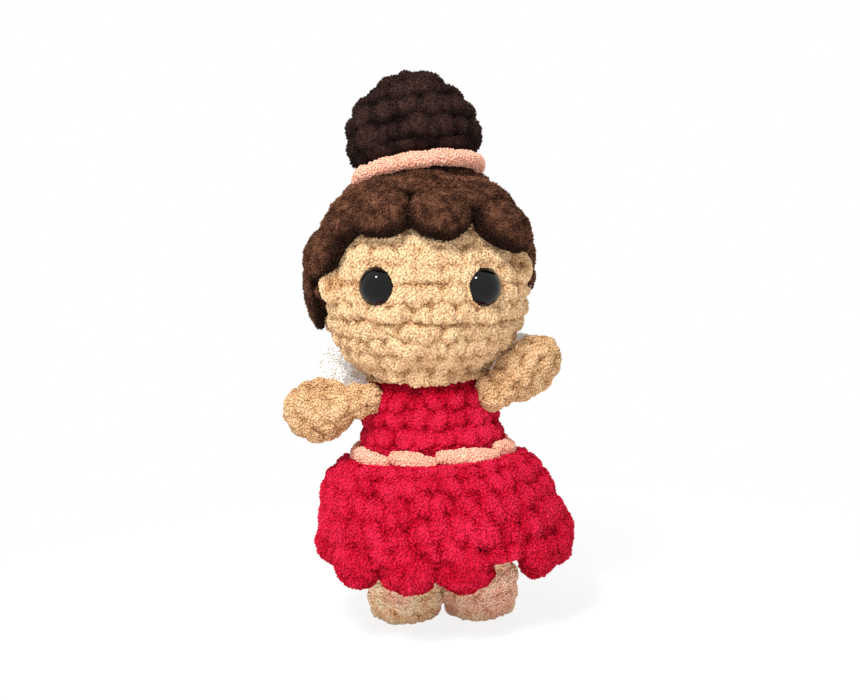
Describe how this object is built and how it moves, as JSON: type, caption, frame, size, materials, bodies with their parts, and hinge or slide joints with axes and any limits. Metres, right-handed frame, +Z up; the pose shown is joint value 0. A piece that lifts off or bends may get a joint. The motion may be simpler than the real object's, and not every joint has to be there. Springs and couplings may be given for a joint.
{
  "type": "plush fairy doll",
  "caption": "Crocheted chenille fairy doll, standing: stuffed ball head with a hair cap and topknot bun, shell-hemmed dress, paddle arms, stub legs and small back wings.",
  "frame": {"origin": "on the ground, under the middle of the whole doll as it stands", "axes": "+Z up through the crown, -Y the way the doll faces, +X towards the doll's left hand"},
  "size_m": [0.105, 0.096, 0.2034],
  "materials": {
    "skin_yarn": "matte chenille pile, warm tan",
    "hair_yarn": "matte chenille pile, brown",
    "bun_yarn": "matte chenille pile, very dark brown",
    "dress_yarn": "matte chenille pile, crimson",
    "pink_yarn": "matte chenille pile, peach pink",
    "wing_yarn": "matte chenille pile, white",
    "stuffing": "loose white polyester fibre",
    "eye_plastic": "polished black",
    "washer_plastic": "moulded natural white"
  },
  "bodies": {
    "torso": {"body_shell": "dress_yarn", "body_stuffing": "stuffing", "neck_seam": "dress_yarn", "sash": "pink_yarn", "skirt": "dress_yarn"},
    "head": {"head_shell": "skin_yarn", "head_stuffing": "stuffing", "hair_cap": "hair_yarn", "right_eye": "eye_plastic", "left_eye": "eye_plastic", "right_eye_washer": "washer_plastic", "left_eye_washer": "washer_plastic", "right_ear": "skin_yarn", "left_ear": "skin_yarn", "bun_shell": "bun_yarn", "bun_stuffing": "stuffing", "hair_band": "pink_yarn"},
    "right_arm": {"right_arm": "skin_yarn", "right_arm_stuffing": "stuffing"},
    "left_arm": {"left_arm": "skin_yarn", "left_arm_stuffing": "stuffing"},
    "right_leg": {"right_leg": "skin_yarn", "right_leg_stuffing": "stuffing"},
    "left_leg": {"left_leg": "skin_yarn", "left_leg_stuffing": "stuffing"},
    "right_wing": {"right_wing": "wing_yarn"},
    "left_wing": {"left_wing": "wing_yarn"}
  },
  "joints": [
    {"name": "neck_turn", "type": "hinge", "parent": "torso", "child": "head", "pos_m": [0.00115, -0.00085, 0.1224], "axis": [0, 0, 1], "range_deg": [-20, 20], "stiffness_Nm_per_rad": 0.02},
    {"name": "right_shoulder", "type": "hinge", "parent": "torso", "child": "right_arm", "pos_m": [-0.02138, -0.01438, 0.0836], "axis": [0, 1, 0], "range_deg": [-25, 32], "stiffness_Nm_per_rad": 0.02},
    {"name": "left_shoulder", "type": "hinge", "parent": "torso", "child": "left_arm", "pos_m": [0.02367, -0.01438, 0.0836], "axis": [0, -1, 0], "range_deg": [-45, 3], "stiffness_Nm_per_rad": 0.02},
    {"name": "right_hip", "type": "hinge", "parent": "torso", "child": "right_leg", "pos_m": [-0.01195, -0.00185, 0.038], "axis": [1, 0, 0], "range_deg": [-15, 15], "stiffness_Nm_per_rad": 0.6},
    {"name": "left_hip", "type": "hinge", "parent": "torso", "child": "left_leg", "pos_m": [0.01425, -0.00185, 0.038], "axis": [1, 0, 0], "range_deg": [-15, 15], "stiffness_Nm_per_rad": 0.6},
    {"name": "right_wing_root", "type": "hinge", "parent": "torso", "child": "right_wing", "pos_m": [-0.00435, 0.02968, 0.082], "axis": [0, -0.3746, -0.9272], "range_deg": [-3, 30], "stiffness_Nm_per_rad": 0.01},
    {"name": "left_wing_root", "type": "hinge", "parent": "torso", "child": "left_wing", "pos_m": [0.00665, 0.02968, 0.082], "axis": [0, 0.3746, 0.9272], "range_deg": [-3, 30], "stiffness_Nm_per_rad": 0.01}
  ]
}
